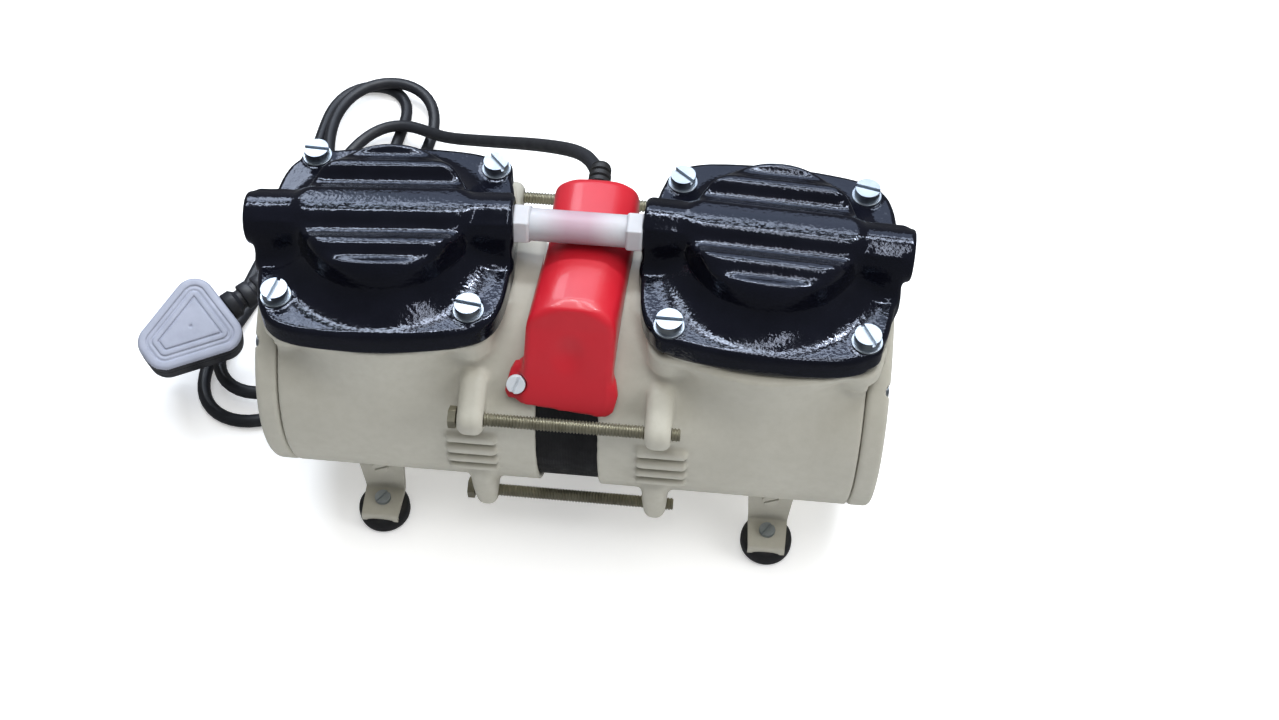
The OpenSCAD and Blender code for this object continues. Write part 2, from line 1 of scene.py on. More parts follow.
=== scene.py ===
import bpy
import json
import math
import numpy as np
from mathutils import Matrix, Quaternion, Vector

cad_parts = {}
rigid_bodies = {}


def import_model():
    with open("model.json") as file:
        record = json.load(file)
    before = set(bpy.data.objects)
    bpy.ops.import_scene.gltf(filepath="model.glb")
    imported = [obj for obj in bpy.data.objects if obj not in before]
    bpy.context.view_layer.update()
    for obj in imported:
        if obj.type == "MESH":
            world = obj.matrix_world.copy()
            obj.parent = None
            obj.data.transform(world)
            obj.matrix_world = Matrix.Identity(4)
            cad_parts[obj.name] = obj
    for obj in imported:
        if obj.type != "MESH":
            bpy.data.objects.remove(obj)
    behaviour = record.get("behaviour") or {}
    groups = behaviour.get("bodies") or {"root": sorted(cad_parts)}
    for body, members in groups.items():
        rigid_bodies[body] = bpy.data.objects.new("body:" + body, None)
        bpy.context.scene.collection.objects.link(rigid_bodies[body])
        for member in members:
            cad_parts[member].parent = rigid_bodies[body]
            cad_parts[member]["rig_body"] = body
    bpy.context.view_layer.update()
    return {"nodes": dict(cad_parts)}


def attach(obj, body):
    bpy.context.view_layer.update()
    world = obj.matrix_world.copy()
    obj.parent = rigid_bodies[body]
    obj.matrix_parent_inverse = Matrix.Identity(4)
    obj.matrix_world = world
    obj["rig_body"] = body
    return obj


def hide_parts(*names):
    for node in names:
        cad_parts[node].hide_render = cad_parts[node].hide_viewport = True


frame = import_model()
N = frame["nodes"]
BODY = "pump_body"
MM = 0.001

# ---------------------------------------------------------------- sizes, in millimetres
R, ZC, HX, SP = 55.5, 78.0, 73.0, 36.0
DECK, TOP, PORT_Z = 134.0, 142.0, 152.0
HALF, END_X = 112.0, 121.0
ROD_C, ROD_UP, ROD_DN = 62.5, math.radians(24), math.radians(42.5)

# ---------------------------------------------------------------- camera
cam_data = bpy.data.cameras.new("camera")
cam = bpy.data.objects.new("camera", cam_data)
bpy.context.scene.collection.objects.link(cam)
cam.location = (0.0511, -0.3850, 0.5933)
cam.rotation_mode = "QUATERNION"
cam.rotation_quaternion = Quaternion((0.9431989973670997, 0.3288054647080679, 0.013424350266517077, 0.045633371163343255))
cam_data.sensor_fit = "HORIZONTAL"
cam_data.sensor_width = 36.0
cam_data.lens = 1561.68 * 36.0 / 1279.0
cam_data.shift_x = (639.5 - 622.48) / 1279.0
cam_data.shift_y = (307.15 - 360.0) / 1279.0
cam_data.clip_start, cam_data.clip_end = 0.01, 50
bpy.context.scene.camera = cam


# ---------------------------------------------------------------- small tools
def link(obj):
    bpy.context.scene.collection.objects.link(obj)
    return obj


def mesh_object(name, verts, quads, smooth=True):
    """verts (n, 3) in millimetres; quads: one (m, 3 or 4) array or a list of such arrays"""
    me = bpy.data.meshes.new(name)
    groups = quads if isinstance(quads, list) and not isinstance(quads[0], tuple) else [quads]
    groups = [np.asarray(g, np.int32) for g in groups if len(g)]
    loops = np.concatenate([g.ravel() for g in groups])
    totals = np.concatenate([np.full(len(g), g.shape[1], np.int32) for g in groups])
    starts = np.concatenate([[0], np.cumsum(totals)[:-1]]).astype(np.int32)
    me.vertices.add(len(verts))
    me.vertices.foreach_set("co", (np.asarray(verts, np.float64) * MM).astype(np.float32).ravel())
    me.loops.add(len(loops))
    me.loops.foreach_set("vertex_index", loops)
    me.polygons.add(len(totals))
    me.polygons.foreach_set("loop_start", starts)
    me.polygons.foreach_set("loop_total", totals)
    me.polygons.foreach_set("use_smooth", np.full(len(totals), smooth))
    me.update(calc_edges=True)
    me.validate()
    return link(bpy.data.objects.new(name, me))


def net(f, ax):
    """closed surface where f goes through zero: one vertex in each cell that the surface crosses"""
    s = f < 0
    n = np.array(f.shape) - 1
    cnt = np.zeros(n, np.int8)
    for i in (0, 1):
        for j in (0, 1):
            for k in (0, 1):
                cnt += s[i:i + n[0], j:j + n[1], k:k + n[2]]
    act = (cnt > 0) & (cnt < 8)
    cells = np.argwhere(act)
    index = np.full(n, -1, np.int64)
    index[act] = np.arange(len(cells))
    acc = np.zeros((len(cells), 3))
    num = np.zeros(len(cells))
    ci, cj, ck = cells.T
    for a in range(3):
        b, c = (a + 1) % 3, (a + 2) % 3
        for p in (0, 1):
            for q in (0, 1):
                o0 = np.zeros(3, int)
                o0[b], o0[c] = p, q
                o1 = o0.copy()
                o1[a] = 1
                f0 = f[ci + o0[0], cj + o0[1], ck + o0[2]].astype(np.float64)
                f1 = f[ci + o1[0], cj + o1[1], ck + o1[2]].astype(np.float64)
                m = (f0 < 0) != (f1 < 0)
                t = np.zeros(len(f0))
                t[m] = f0[m] / (f0[m] - f1[m])
                add = o0 + t[:, None] * (o1 - o0)
                acc[m] += add[m]
                num[m] += 1
    pos = cells + acc / num[:, None]
    org = np.array([x[0] for x in ax])
    step = np.array([x[1] - x[0] for x in ax])
    verts = org + pos * step
    quads = []
    for a in range(3):
        b, c = (a + 1) % 3, (a + 2) % 3
        lo = [slice(None)] * 3
        hi = [slice(None)] * 3
        lo[a], hi[a] = slice(0, -1), slice(1, None)
        s0, s1 = s[tuple(lo)], s[tuple(hi)]
        e = np.argwhere(s0 != s1)
        ok = (e[:, b] > 0) & (e[:, c] > 0) & (e[:, b] < n[b]) & (e[:, c] < n[c])
        e = e[ok]
        inside = s0[tuple(e.T)]

        def at(db, dc):
            x = e.copy()
            x[:, b] += db
            x[:, c] += dc
            return index[tuple(x.T)]
        q = np.stack([at(-1, -1), at(0, -1), at(0, 0), at(-1, 0)], 1)
        q[~inside] = q[~inside][:, ::-1]
        quads.append(q)
    return verts, np.concatenate(quads)


def axes(lo, hi, h):
    return [np.arange(lo[i] - 2.37 * h, hi[i] + 2.5 * h, h) for i in range(3)]


def grid(ax):
    return np.meshgrid(*[a.astype(np.float32) for a in ax], indexing="ij", sparse=True)


def smin(a, b, k):
    h = np.clip(0.5 + 0.5 * (b - a) / k, 0, 1)
    return b + (a - b) * h - k * h * (1 - h)


def smax(a, b, k):
    return -smin(-a, -b, k)


def slab(v, a, b):
    return np.abs(v - (a + b) / 2) - (b - a) / 2


def meet(a, b, r):
    """where both are inside, the shared edge rounded by r, true distance outside"""
    a, b = a + r, b + r
    return np.minimum(np.maximum(a, b), 0) + np.hypot(np.maximum(a, 0), np.maximum(b, 0)) - r


def capsule2(u, v, p, q, r0, r1):
    du, dv = q[0] - p[0], q[1] - p[1]
    t = np.clip(((u - p[0]) * du + (v - p[1]) * dv) / (du * du + dv * dv), 0, 1)
    return np.hypot(u - p[0] - du * t, v - p[1] - dv * t) - (r0 + (r1 - r0) * t)


def polygon2(u, v, pts):
    """signed distance to a closed polygon"""
    u, v = np.broadcast_arrays(u, v)
    d = np.full(u.shape, 1e9, np.float32)
    inside = np.zeros(u.shape, bool)
    m = len(pts)
    for i in range(m):
        (ax_, ay), (bx, by) = pts[i], pts[(i + 1) % m]
        ex, ey = bx - ax_, by - ay
        t = np.clip(((u - ax_) * ex + (v - ay) * ey) / (ex * ex + ey * ey), 0, 1)
        d = np.minimum(d, np.hypot(u - ax_ - ex * t, v - ay - ey * t))
        cross = (ay > v) != (by > v)
        if ey != 0:
            inside ^= cross & (u < ax_ + (v - ay) * ex / ey)
    return np.where(inside, -d, d)


def outline(x, y, grow=0.0):
    """bowed square outline of the head plate, about its centre"""
    o = 182 - 48.5
    a = np.hypot(x + o, y) - 182
    b = np.hypot(x - o, y) - 182
    c = np.hypot(x, y + o) - 182
    d = np.hypot(x, y - o) - 182
    k = 5
    return smax(smax(smax(a, b, k), smax(c, d, k), k), np.hypot(x, y) - 58.4, 5) - grow + 0.3


def sdf_object(name, f, ax, flip=False, node=None, body=BODY):
    verts, quads = net(f, ax)
    if flip:
        verts = verts * np.array([-1, 1, 1])
        quads = quads[:, ::-1]
    o = mesh_object(name, verts, quads)
    if node:
        place(o, node, body)
    return o


def place(o, node, body=BODY):
    nodes = node if isinstance(node, (list, tuple)) else [node]
    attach(o, body)
    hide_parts(*nodes)
    return o


def lathe(name, profile, seg=96, axis="z", centre=(0, 0, 0), closed=True):
    """profile: (radius, height) points in millimetres, turned about an axis"""
    pts = list(profile)
    verts, faces = [], []
    rings = []
    for r, h in pts:
        if r < 1e-6:
            rings.append([len(verts)])
            verts.append((0, 0, h))
        else:
            rings.append(list(range(len(verts), len(verts) + seg)))
            for i in range(seg):
                a = 2 * math.pi * i / seg
                verts.append((r * math.cos(a), r * math.sin(a), h))
    pairs = list(zip(rings[:-1], rings[1:]))
    if closed and len(rings[0]) > 1 and len(rings[-1]) > 1:
        pairs.append((rings[-1], rings[0]))
    quads, tris = [], []
    for a, b in pairs:
        for i in range(seg):
            j = (i + 1) % seg
            if len(a) == 1 and len(b) == 1:
                continue
            if len(a) == 1:
                tris.append((a[0], b[j], b[i]))
            elif len(b) == 1:
                tris.append((a[i], a[j], b[0]))
            else:
                quads.append((a[i], a[j], b[j], b[i]))
    v = np.array(verts, float)
    if axis == "x":
        v = v[:, [2, 0, 1]]
    elif axis == "y":
        v = v[:, [1, 2, 0]]
    v += np.array(centre)
    groups = []
    if quads:
        groups.append(quads)
    if tris:
        groups.append(tris)
    o = mesh_object(name, v, groups)
    return o


def smooth_by_angle(o, angle=35):
    for p in o.data.polygons:
        p.use_smooth = True
    o.data.set_sharp_from_angle(angle=math.radians(angle))


def bevelled(node, width=0.3, segments=2, name=None, body=None, angle=32, dissolve=True):
    """a copy of a CAD node with its sharp edges broken, standing for that node"""
    src = N[node]
    me = src.data.copy()
    o = link(bpy.data.objects.new(name or node + "_piece", me))
    me.materials.clear()
    import bmesh
    bm = bmesh.new()
    bm.from_mesh(me)
    bmesh.ops.remove_doubles(bm, verts=bm.verts, dist=2e-6)
    if dissolve:
        bmesh.ops.dissolve_limit(bm, angle_limit=math.radians(0.6), verts=bm.verts, edges=bm.edges)
    bmesh.ops.recalc_face_normals(bm, faces=bm.faces)
    bm.to_mesh(me)
    bm.free()
    for p in me.polygons:
        p.use_smooth = True
    if "sharp_edge" in me.attributes:
        me.attributes.remove(me.attributes["sharp_edge"])
    b = o.modifiers.new("bevel", "BEVEL")
    b.width = width * MM
    b.segments = segments
    b.limit_method = "ANGLE"
    b.angle_limit = math.radians(angle)
    b.use_clamp_overlap = True
    b.harden_normals = False
    w = o.modifiers.new("normals", "WEIGHTED_NORMAL")
    w.keep_sharp = True
    bd = body or src["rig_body"]
    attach(o, bd)
    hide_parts(node)
    return o


# ---------------------------------------------------------------- materials
MATS = {}


class Mat:
    def __init__(self, name):
        self.m = bpy.data.materials.new(name)
        self.m.use_nodes = True
        self.nt = self.m.node_tree
        self.b = self.nt.nodes["Principled BSDF"]
        self.coord = self.nt.nodes.new("ShaderNodeTexCoord")
        MATS[name] = self.m

    def set(self, **kw):
        for k, v in kw.items():
            self.b.inputs[k.replace("_", " ")].default_value = v
        return self

    def node(self, kind, **inputs):
        n = self.nt.nodes.new(kind)
        for k, v in inputs.items():
            n.inputs[k.replace("_", " ")].default_value = v
        return n

    def link(self, a, b):
        self.nt.links.new(a, b)

    def noise(self, scale, detail=4, rough=0.5, distortion=0.0):
        n = self.node("ShaderNodeTexNoise", Scale=scale, Detail=detail, Roughness=rough, Distortion=distortion)
        self.link(self.coord.outputs["Object"], n.inputs["Vector"])
        return n.outputs["Fac"]

    def voronoi(self, scale, feature="F1", smooth=0.5):
        n = self.nt.nodes.new("ShaderNodeTexVoronoi")
        n.feature = feature
        n.inputs["Scale"].default_value = scale
        if feature == "SMOOTH_F1":
            n.inputs["Smoothness"].default_value = smooth
        self.link(self.coord.outputs["Object"], n.inputs["Vector"])
        return n.outputs["Distance"]

    def ramp(self, fac, stops, interp="LINEAR"):
        n = self.nt.nodes.new("ShaderNodeValToRGB")
        cr = n.color_ramp
        cr.interpolation = interp
        while len(cr.elements) < len(stops):
            cr.elements.new(0.5)
        for e, (p, c) in zip(cr.elements, stops):
            e.position = p
            e.color = (c, c, c, 1) if isinstance(c, (int, float)) else (*c, 1)
        self.link(fac, n.inputs["Fac"])
        return n.outputs["Color"]

    def mix(self, fac, a, b, mode="MIX"):
        n = self.nt.nodes.new("ShaderNodeMix")
        n.data_type = "RGBA"
        n.blend_type = mode
        if isinstance(fac, (int, float)):
            n.inputs[0].default_value = fac
        else:
            self.link(fac, n.inputs[0])
        for sock, v in ((n.inputs[6], a), (n.inputs[7], b)):
            if isinstance(v, tuple):
                sock.default_value = (*v, 1)
            else:
                self.link(v, sock)
        return n.outputs[2]

    def color(self, out):
        self.link(out, self.b.inputs["Base Color"])
        return self

    def rough(self, out):
        self.link(out, self.b.inputs["Roughness"])
        return self

    def bump(self, *pairs):
        """pairs of (height output, strength, distance in mm)"""
        last = None
        for out, strength, dist in pairs:
            n = self.node("ShaderNodeBump", Strength=strength, Distance=dist * MM)
            self.link(out, n.inputs["Height"])
            if last is not None:
                self.link(last, n.inputs["Normal"])
            last = n.outputs["Normal"]
        self.link(last, self.b.inputs["Normal"])
        return self

    def edge(self, low=0.46, high=0.54):
        g = self.nt.nodes.new("ShaderNodeNewGeometry")
        return self.ramp(g.outputs["Pointiness"], [(low, 0.0), (high, 1.0)])


def make_materials():
    # cream casting paint: slight orange peel, cast unevenness, painted shade in the hollows
    m = Mat("cream_paint")
    m.set(Roughness=0.42, Specular_IOR_Level=0.45)
    broad = m.noise(22, 5, 0.55)
    tone = m.ramp(broad, [(0.3, (0.425, 0.41, 0.35)), (0.7, (0.485, 0.47, 0.405))])
    fine = m.noise(240, 4, 0.6)
    tone = m.mix(m.ramp(fine, [(0.38, 0.0), (0.72, 0.22)]), tone, (0.34, 0.315, 0.255))
    spots = m.noise(75, 6, 0.7, 0.4)
    tone = m.mix(m.ramp(spots, [(0.66, 0.0), (0.78, 0.35)]), tone, (0.30, 0.25, 0.18))
    # darker brown where the surface is concave: painted shade in the hollows
    tone = m.mix(m.ramp(m.edge(0.40, 0.50), [(0.0, 0.45), (1.0, 0.0)]), tone, (0.30, 0.27, 0.21))
    m.color(tone)
    m.rough(m.ramp(m.noise(60, 4, 0.6), [(0.3, 0.36), (0.7, 0.52)]))
    m.bump((m.noise(420, 4, 0.6), 0.55, 0.12), (m.noise(45, 4, 0.55), 0.55, 0.35))

    # black hammered enamel
    m = Mat("black_enamel")
    m.set(Roughness=0.12, Specular_IOR_Level=0.5, Specular_Tint=(0.78, 0.84, 1.0, 1.0))
    m.color(m.ramp(m.noise(60, 4, 0.6), [(0.3, (0.0022, 0.0024, 0.0048)), (0.75, (0.0048, 0.0052, 0.0095))]))
    m.rough(m.ramp(m.noise(150, 3, 0.6), [(0.35, 0.06), (0.7, 0.15)]))
    pits = m.ramp(m.voronoi(700, "SMOOTH_F1", 0.6), [(0.0, 0.0), (0.6, 1.0)])
    m.bump((m.noise(34, 3, 0.5), 0.22, 0.5), (m.noise(640, 2, 0.5, 0.2), 0.68, 0.14), (pits, 0.35, 0.08))

    def metal(name, c0, c1, r0, r1, bump=0.12, scale=300, metallic=1.0):
        m = Mat(name)
        m.set(Metallic=metallic)
        m.color(m.ramp(m.noise(scale * 0.4, 4, 0.6), [(0.3, c0), (0.7, c1)]))
        m.rough(m.ramp(m.noise(scale, 4, 0.6), [(0.3, r0), (0.7, r1)]))
        m.bump((m.noise(scale * 2.2, 3, 0.6), bump, 0.05))
        return m

    metal("satin_zinc", (0.62, 0.66, 0.70), (0.76, 0.80, 0.84), 0.40, 0.55, metallic=0.3)
    metal("bright_zinc", (0.36, 0.40, 0.445), (0.50, 0.545, 0.59), 0.34, 0.48)
    metal("yellow_zinc", (0.27, 0.25, 0.18), (0.42, 0.395, 0.30), 0.32, 0.46, metallic=0.8)
    metal("steel", (0.52, 0.52, 0.54), (0.66, 0.66, 0.68), 0.18, 0.30)
    metal("rotor_steel", (0.26, 0.27, 0.29), (0.40, 0.41, 0.43), 0.35, 0.5)
    metal("copper_wire", (0.45, 0.17, 0.07), (0.62, 0.27, 0.12), 0.25, 0.4)
    metal("aluminium", (0.62, 0.63, 0.65), (0.76, 0.77, 0.79), 0.28, 0.42)
    metal("sintered_iron", (0.15, 0.145, 0.14), (0.28, 0.27, 0.26), 0.45, 0.62)
    metal("bronze", (0.40, 0.25, 0.11), (0.55, 0.37, 0.18), 0.3, 0.45)
    metal("brass", (0.62, 0.45, 0.20), (0.76, 0.58, 0.29), 0.2, 0.34)

    # stack of thin black sheets round the stator
    m = Mat("laminations")
    m.set(Specular_IOR_Level=0.45)
    sep = m.nt.nodes.new("ShaderNodeSeparateXYZ")
    m.link(m.coord.outputs["Object"], sep.inputs[0])
    mul = m.nt.nodes.new("ShaderNodeMath")
    mul.operation = "MULTIPLY"
    mul.inputs[1].default_value = 2 * math.pi / 0.0011
    m.link(sep.outputs["X"], mul.inputs[0])
    sn = m.nt.nodes.new("ShaderNodeMath")
    sn.operation = "SINE"
    m.link(mul.outputs[0], sn.inputs[0])
    m.color(m.ramp(m.noise(120, 4, 0.6), [(0.35, (0.004, 0.004, 0.005)), (0.75, (0.012, 0.012, 0.014))]))
    m.rough(m.ramp(m.noise(200, 4, 0.6), [(0.3, 0.32), (0.7, 0.55)]))
    m.bump((sn.outputs[0], 0.35, 0.12), (m.noise(300, 3, 0.6), 0.3, 0.1))

    def plain(name, c0, c1, r0, r1, bump=0.2, scale=200, **kw):
        m = Mat(name)
        m.set(**kw)
        m.color(m.ramp(m.noise(scale * 0.35, 4, 0.6), [(0.3, c0), (0.7, c1)]))
        m.rough(m.ramp(m.noise(scale, 4, 0.6), [(0.3, r0), (0.7, r1)]))
        m.bump((m.noise(scale * 2.5, 3, 0.6), bump, 0.06))
        return m

    plain("black_rubber", (0.008, 0.008, 0.009), (0.018, 0.018, 0.019), 0.42, 0.6)
    plain("gasket", (0.16, 0.08, 0.05), (0.24, 0.12, 0.075), 0.7, 0.85)
    plain("terminal_plastic", (0.62, 0.60, 0.52), (0.70, 0.68, 0.60), 0.4, 0.5)
    plain("black_plastic", (0.016, 0.016, 0.018), (0.03, 0.03, 0.034), 0.35, 0.5)
    plain("cord_pvc", (0.010, 0.011, 0.014), (0.020, 0.021, 0.026), 0.34, 0.48, 0.12, 140)
    # light grey-blue for the face of a black plug: painted sheen
    plain("plug_plastic", (0.30, 0.32, 0.40), (0.37, 0.39, 0.48), 0.42, 0.55, 0.25, 260, Specular_IOR_Level=0.6)
    plain("boot_plastic", (0.012, 0.013, 0.017), (0.024, 0.025, 0.031), 0.35, 0.48, 0.2, 200)

    m = Mat("red_pvc")
    m.set(Specular_IOR_Level=0.55, Coat_Weight=0.28, Coat_Roughness=0.11, Subsurface_Weight=0.04, Subsurface_Radius=(0.002, 0.0006, 0.0005), Subsurface_Scale=1.0)
    m.color(m.ramp(m.noise(24, 4, 0.55), [(0.3, (0.46, 0.008, 0.018)), (0.72, (0.55, 0.013, 0.026))]))
    m.rough(m.ramp(m.noise(90, 3, 0.6), [(0.3, 0.36), (0.7, 0.46)]))
    m.bump((m.noise(20, 2, 0.4), 0.07, 0.4), (m.noise(300, 3, 0.6), 0.05, 0.04))

    m = Mat("white_nylon")
    m.set(Specular_IOR_Level=0.5, Transmission_Weight=0.2, IOR=1.35, Subsurface_Weight=0.3, Subsurface_Radius=(0.006, 0.0045, 0.004), Subsurface_Scale=1.0)
    sep = m.nt.nodes.new("ShaderNodeSeparateXYZ")
    m.link(m.coord.outputs["Object"], sep.inputs[0])
    ab = m.nt.nodes.new("ShaderNodeMath")
    ab.operation = "ABSOLUTE"
    m.link(sep.outputs["X"], ab.inputs[0])
    # pink towards the middle, where the tube runs over the red cover: painted red light from the cover
    near = m.ramp(ab.outputs[0], [(0.004, 1.0), (0.014, 0.0)])
    white = m.ramp(m.noise(60, 4, 0.6), [(0.3, (0.56, 0.56, 0.59)), (0.7, (0.66, 0.66, 0.69))])
    m.color(m.mix(near, white, (0.54, 0.385, 0.45)))
    m.rough(m.ramp(m.noise(120, 4, 0.6), [(0.3, 0.30), (0.7, 0.46)]))
    m.bump((m.noise(90, 4, 0.6), 0.25, 0.15),)


make_materials()


def paint(obj, mat):
    obj.data.materials.clear()
    obj.data.materials.append(MATS[mat])
    return obj


# ---------------------------------------------------------------- the mains cord
def rounded_path(pts, n=10):
    """smooth centripetal curve through the points"""
    p = np.array(pts, float)
    p = np.vstack([2 * p[0] - p[1], p, 2 * p[-1] - p[-2]])
    out = []
    for i in range(1, len(p) - 2):
        q = p[i - 1:i + 3]
        t = np.concatenate([[0], np.cumsum(np.linalg.norm(np.diff(q, axis=0), axis=1) ** 0.5)])
        for k in range(n):
            s = t[1] + (t[2] - t[1]) * k / n
            a = [q[j] * (t[j + 1] - s) / (t[j + 1] - t[j]) + q[j + 1] * (s - t[j]) / (t[j + 1] - t[j]) for j in range(3)]
            b = [a[j] * (t[j + 2] - s) / (t[j + 2] - t[j]) + a[j + 1] * (s - t[j]) / (t[j + 2] - t[j]) for j in range(2)]
            out.append(b[0] * (t[2] - s) / (t[2] - t[1]) + b[1] * (s - t[1]) / (t[2] - t[1]))
    out.append(p[-2])
    return np.array(out)


def relaxed(p, step=4.0, rounds=14, keep=6):
    """evenly spaced and lightly smoothed, both ends held"""
    for _ in range(rounds):
        d = np.concatenate([[0], np.cumsum(np.linalg.norm(np.diff(p, axis=0), axis=1))])
        m = max(8, int(d[-1] / step))
        s = np.linspace(0, d[-1], m)
        p = np.stack([np.interp(s, d, p[:, i]) for i in range(3)], 1)
        q = p.copy()
        q[1:-1] = 0.25 * p[:-2] + 0.5 * p[1:-1] + 0.25 * p[2:]
        w = np.ones(m)
        w[:keep] = np.linspace(0, 1, keep)
        w[-keep:] = np.linspace(1, 0, keep)
        p = p + (q - p) * w[:, None]
    return p


LEAD = [(3, 38, 130.9), (3, 44, 130.9), (2.6, 50, 130.8), (-0.7, 57.9, 128.8), (-8.9, 70.6, 119.5), (-20.9, 88.3, 103), (-35.8, 108.3, 83),
        (-54.3, 131.4, 59), (-73.6, 152.6, 37), (-90, 168.5, 21), (-101, 178, 13.5), (-111, 186.5, 10.5), (-120, 189.5, 9.3)]
TURN_1 = [(-131, 185, 8.0), (-140, 174, 5.0), (-146, 160, 3), (-152, 140, 3), (-158, 115, 3), (-163.5, 88, 3), (-169, 64, 3.2), (-173.8, 46, 5.5),
          (-176.0, 31, 8.4), (-174.2, 20, 9.3), (-168, 11.2, 9.4), (-157.5, 7.0, 9.3), (-144.5, 9.6, 9.2), (-131.8, 18.4, 8.0), (-122.5, 32, 5.0), (-118.8, 48, 3), (-117.5, 72, 3), (-117.5, 100, 3),
          (-118.5, 130, 3), (-120, 160, 3), (-119.5, 182, 3), (-116, 200, 3)]
TURN_2 = [(-114.6, 206, 3), (-117.4, 213.4, 3), (-125, 220.9, 3), (-137, 223.8, 3), (-149, 220.4, 3), (-156.6, 212.4, 3), (-159.4, 202, 3), (-159.4, 188, 3), (-160, 165, 3), (-164, 135, 3),
          (-169.5, 100, 3), (-175, 65, 3), (-180, 35, 3), (-181.8, 17, 3), (-178.5, 6, 3), (-169, -2.3, 3), (-156, -4, 3), (-143, -0.5, 3),
          (-131, 10, 3), (-123, 26, 3), (-115, 44, 3), (-110.5, 70, 3), (-109.3, 100, 3), (-108.5, 130, 3), (-105.5, 160, 3), (-101, 182, 3.5)]
TURN_3 = [(-99.3, 191, 5.5), (-101, 203, 8.3), (-108, 213, 9.2), (-119, 219, 9.5), (-132, 219.5, 9.5), (-144, 213, 9.5), (-151.5, 200, 9.5), (-154, 183, 9.3),
          (-151.5, 163, 9.2), (-146, 145, 9.4), (-139.5, 129, 9.6)]
TAIL = [(-132.4, 113, 10.4), (-128.7, 103.9, 13.4), (-125.7, 96.2, 18.6), (-123.5, 89.5, 25.2), (-122.7, 83.5, 32.2), (-123.4, 77.5, 39.2),
        (-125.9, 71.1, 44.9), (-130.8, 64.1, 48.4), (-135.4, 58.75, 49.3), (-138.2, 55.95, 48.85), (-142.0, 52.1, 48.2)]
CORD_POINTS = relaxed(rounded_path(LEAD + TURN_1 + TURN_2 + TURN_3 + TAIL, 8))


def cord():
    cu = bpy.data.curves.new("mains_cord", "CURVE")
    cu.dimensions = "3D"
    sp = cu.splines.new("POLY")
    sp.points.add(len(CORD_POINTS) - 1)
    for q, c in zip(sp.points, CORD_POINTS):
        q.co = (*(c * MM), 1)
    sp.use_smooth = True
    cu.bevel_depth = 3.0 * MM
    cu.bevel_resolution = 6
    cu.use_fill_caps = True
    o = link(bpy.data.objects.new("mains_cord", cu))
    cu.materials.append(MATS["cord_pvc"])
    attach(o, BODY)
    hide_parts("cord_lead", "cord_hank", "cord_tail")
    return o


cord_obj = cord()


def gland():
    """rubber sleeve round the cord where it leaves the red cover, tapering away from it, with a flange against the cover"""
    prof = [(3.02, 0), (4.5, 0), (4.5, 1.9), (6.6, 1.9), (7.0, 2.3), (7.0, 4.0), (6.6, 4.4), (5.2, 4.4)]
    for i in range(4):
        y = 5.4 + i * 3.6
        r = 5.0 - i * 0.22
        prof += [(r - 0.9, y - 0.5), (r, y), (r, y + 2.0), (r - 0.9, y + 2.5)]
    prof += [(3.9, 19.6), (3.6, 20.0), (3.02, 20.0)]
    return prof


g = lathe("cord_gland_piece", [(r, h) for r, h in gland()], 48, "y", (3, 32.2, 130.9))
place(g, "cord_gland", BODY)
smooth_by_angle(g, 40)
paint(g, "black_rubber")


# ---------------------------------------------------------------- head covers
def head_field(ax, yaw, dy):
    """one head, turned a little on its screws as both heads are on the real pump"""
    X, Y, Z = grid(ax)
    x0 = X - HX
    y0 = Y
    ca, sa = math.cos(math.radians(yaw)), math.sin(math.radians(yaw))
    x = x0 * ca + (y0 - dy) * sa
    y = (y0 - dy) * ca - x0 * sa
    out = outline(x, y)
    plate = meet(out, slab(Z, DECK - 3.0, TOP), 2.0)
    r = np.hypot(x, y)
    # dome: near-vertical side, crisp shoulder, broad fillet into the plate
    side = r - (31.8 + np.clip(TOP + 17 - Z, 0, 12) * 0.16)
    dome = smax(side, Z - (TOP + 20.2 - 0.05 * np.clip(-23.5 - y, 0, 12) ** 2), 4.2)
    dome = smin(dome, np.maximum(r - 34.6 - 0.9 * np.clip(TOP + 5 - Z, -2, 8), Z - (TOP + 5.5)), 2.4)
    head = smin(plate, dome, 9.0)
    # port bar: round boss on a spreading foot
    boss = np.hypot(y, Z - PORT_Z) - 9.9
    foot = np.maximum((np.abs(y) - (13.6 - 4.6 * np.clip((Z - 141) / 14, -1, 1.2))) * 0.95, Z - 159.0)
    bar = smin(meet(boss + 0 * x, slab(x, -48.6, 52.0), 1.4), meet(smax(foot, DECK + 1 - Z, 1.0) + 0 * x, slab(x, -48.0, 49.0), 2.0), 2.4)
    head = smin(head, bar, 3.6)
    # valleys between rounded ridges
    zt = TOP + 20.8
    for y1, w, d in ((-25.2, 2.6, 0.9), (-11.8, 3.7, 1.0), (12.4, 3.7, 1.0), (25.6, 2.6, 0.9)):
        g = np.hypot((y - y1) * 0.86, (Z - zt) * 0.95) - w + 0 * x
        g = np.maximum(g, np.abs(x) - 34.5)
        head = smax(head, -g, 2.6)
    for i in (-1, 1):
        for j in (-1, 1):
            rr = np.hypot(x0 - i * SP, y0 - j * SP)
            head = smin(head, meet(rr - 6.4, slab(Z, DECK, TOP + 0.1), 0.6), 1.0)
            head = smax(head, -(rr - 3.3 + 0 * Z), 0.4)
    port = np.hypot(y, Z - PORT_Z)
    head = smax(head, -np.maximum(port - 6.6, 31 - x), 0.8)
    head = smax(head, -np.maximum(port - 5.0, x + 31), 0.4)
    head = smax(head, -np.maximum(port - 4.0, np.abs(x) - 32), 0.4)
    room = np.maximum(np.maximum(r - 26, Z - 154), 2 - np.abs(x))
    head = smax(head, -room, 0.5)
    return head


def heads():
    ax = axes((HX - 54, -56, DECK - 4), (HX + 55, 54, 164), 0.62)
    for s, name, yaw, dy in ((1, "right", -3.0, 1.2), (-1, "left", -4.5, -3.0)):
        o = sdf_object(name + "_head_cover_piece", head_field(ax, yaw, dy), ax, s < 0, name + "_head_cover", BODY)
        paint(o, "black_enamel")


